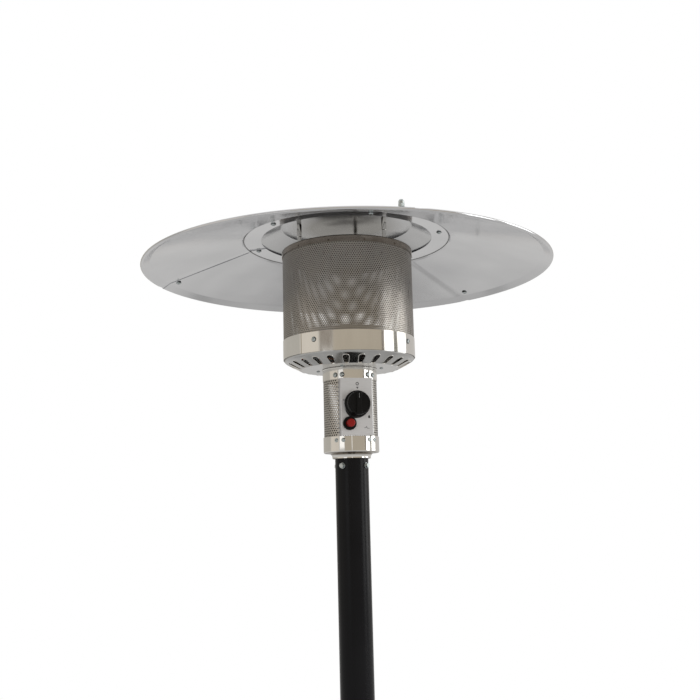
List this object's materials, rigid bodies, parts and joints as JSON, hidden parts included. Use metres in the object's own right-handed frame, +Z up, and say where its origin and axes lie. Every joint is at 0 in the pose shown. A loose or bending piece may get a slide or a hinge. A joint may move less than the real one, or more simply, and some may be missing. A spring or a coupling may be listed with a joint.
{
  "type": "outdoor heater",
  "caption": "Free-standing gas patio heater: shallow round reflector, perforated emitter, control head, slim pole, lift-up tank cover and wheeled base.",
  "frame": {"origin": "centre of the base on the ground", "axes": "+Z up along the pole, -Y towards the control panel, +X to the right when facing the panel"},
  "size_m": [0.813, 0.813, 2.208],
  "materials": {
    "reflector_aluminium": "satin rolled sheet",
    "cap_aluminium": "polished sheet",
    "emitter_steel": "perforated, heat tinted",
    "polished_steel": "mirror polished",
    "perforated_steel": "perforated",
    "plate_steel": "fine brushed",
    "black_powder_coat": "fine satin powder coat",
    "inner_steel": "mill finish",
    "zinc": "bright zinc plate",
    "brass": "machined",
    "zinc_casting": "die cast",
    "tube_aluminium": "drawn tube",
    "copper_lead": "drawn tube",
    "ceramic": "glazed white",
    "lead_silicone": "silicone sleeve",
    "black_plastic": "moulded",
    "red_plastic": "glossy moulded",
    "wheel_plastic": "moulded"
  },
  "bodies": {
    "stand": {"reflector_panel_1": "reflector_aluminium", "reflector_panel_2": "reflector_aluminium", "reflector_panel_3": "reflector_aluminium", "reflector_cap": "cap_aluminium", "emitter_screen": "emitter_steel", "emitter_top_ring": "emitter_steel", "emitter_top_plate": "emitter_steel", "emitter_band": "polished_steel", "burner_pan": "polished_steel", "upper_collar": "polished_steel", "lower_collar": "polished_steel", "control_shell": "perforated_steel", "control_plate": "plate_steel", "pole": "black_powder_coat", "pole_foot": "black_powder_coat", "leg_1": "black_powder_coat", "leg_2": "black_powder_coat", "leg_3": "black_powder_coat", "base_pan": "black_powder_coat", "wheel_bracket": "black_powder_coat", "burner_head": "inner_steel", "mixing_tube": "inner_steel", "head_spigot": "inner_steel", "valve_bracket": "inner_steel", "reflector_posts": "inner_steel", "pilot_burner": "inner_steel", "reflector_cap_screws": "zinc", "seam_bolts": "zinc", "seam_nuts": "zinc", "post_wing_nuts": "zinc", "band_screws": "zinc", "pan_screws": "zinc", "collar_screws": "zinc", "pole_bolts": "zinc", "leg_foot_bolts": "zinc", "leg_top_bolts": "zinc", "bracket_bolts": "zinc", "wheel_axle": "zinc", "injector": "brass", "inlet_fitting": "brass", "gas_valve": "zinc_casting", "gas_tube": "tube_aluminium", "pilot_tube": "tube_aluminium", "thermocouple": "copper_lead", "ignition_electrode": "ceramic", "ignition_lead": "lead_silicone", "igniter_body": "black_plastic", "igniter_nut": "black_plastic", "tilt_switch": "black_plastic", "axle_caps": "black_plastic"},
    "spindle": {"valve_spindle": "brass"},
    "knob": {"control_knob": "black_plastic"},
    "igniter_button": {"igniter_button": "red_plastic"},
    "tank_cover": {"cover_sleeve": "black_powder_coat", "cover_lid": "black_powder_coat", "cover_bush": "black_plastic", "cover_rivets": "zinc"},
    "left_wheel": {"wheel_left": "wheel_plastic"},
    "right_wheel": {"wheel_right": "wheel_plastic"}
  },
  "joints": [
    {"name": "knob_turn", "type": "hinge", "parent": "stand", "child": "spindle", "pos_m": [0, -0.06, 1.829], "axis": [0, -1, 0], "range_deg": [0, 220]},
    {"name": "knob_push", "type": "slide", "parent": "spindle", "child": "knob", "axis": [0, 1, 0], "range_m": [0, 0.003], "stiffness_N_per_m": 600},
    {"name": "igniter_press", "type": "slide", "parent": "stand", "child": "igniter_button", "axis": [0, 1, 0], "range_m": [0, 0.005], "stiffness_N_per_m": 400},
    {"name": "cover_lift", "type": "slide", "parent": "stand", "child": "tank_cover", "axis": [0, 0, 1], "range_m": [0, 0.55]},
    {"name": "left_wheel_spin", "type": "hinge", "parent": "stand", "child": "left_wheel", "pos_m": [-0.098, 0.262, 0.07], "axis": [1, 0, 0], "continuous": true},
    {"name": "right_wheel_spin", "type": "hinge", "parent": "stand", "child": "right_wheel", "pos_m": [0.098, 0.262, 0.07], "axis": [1, 0, 0], "continuous": true}
  ]
}
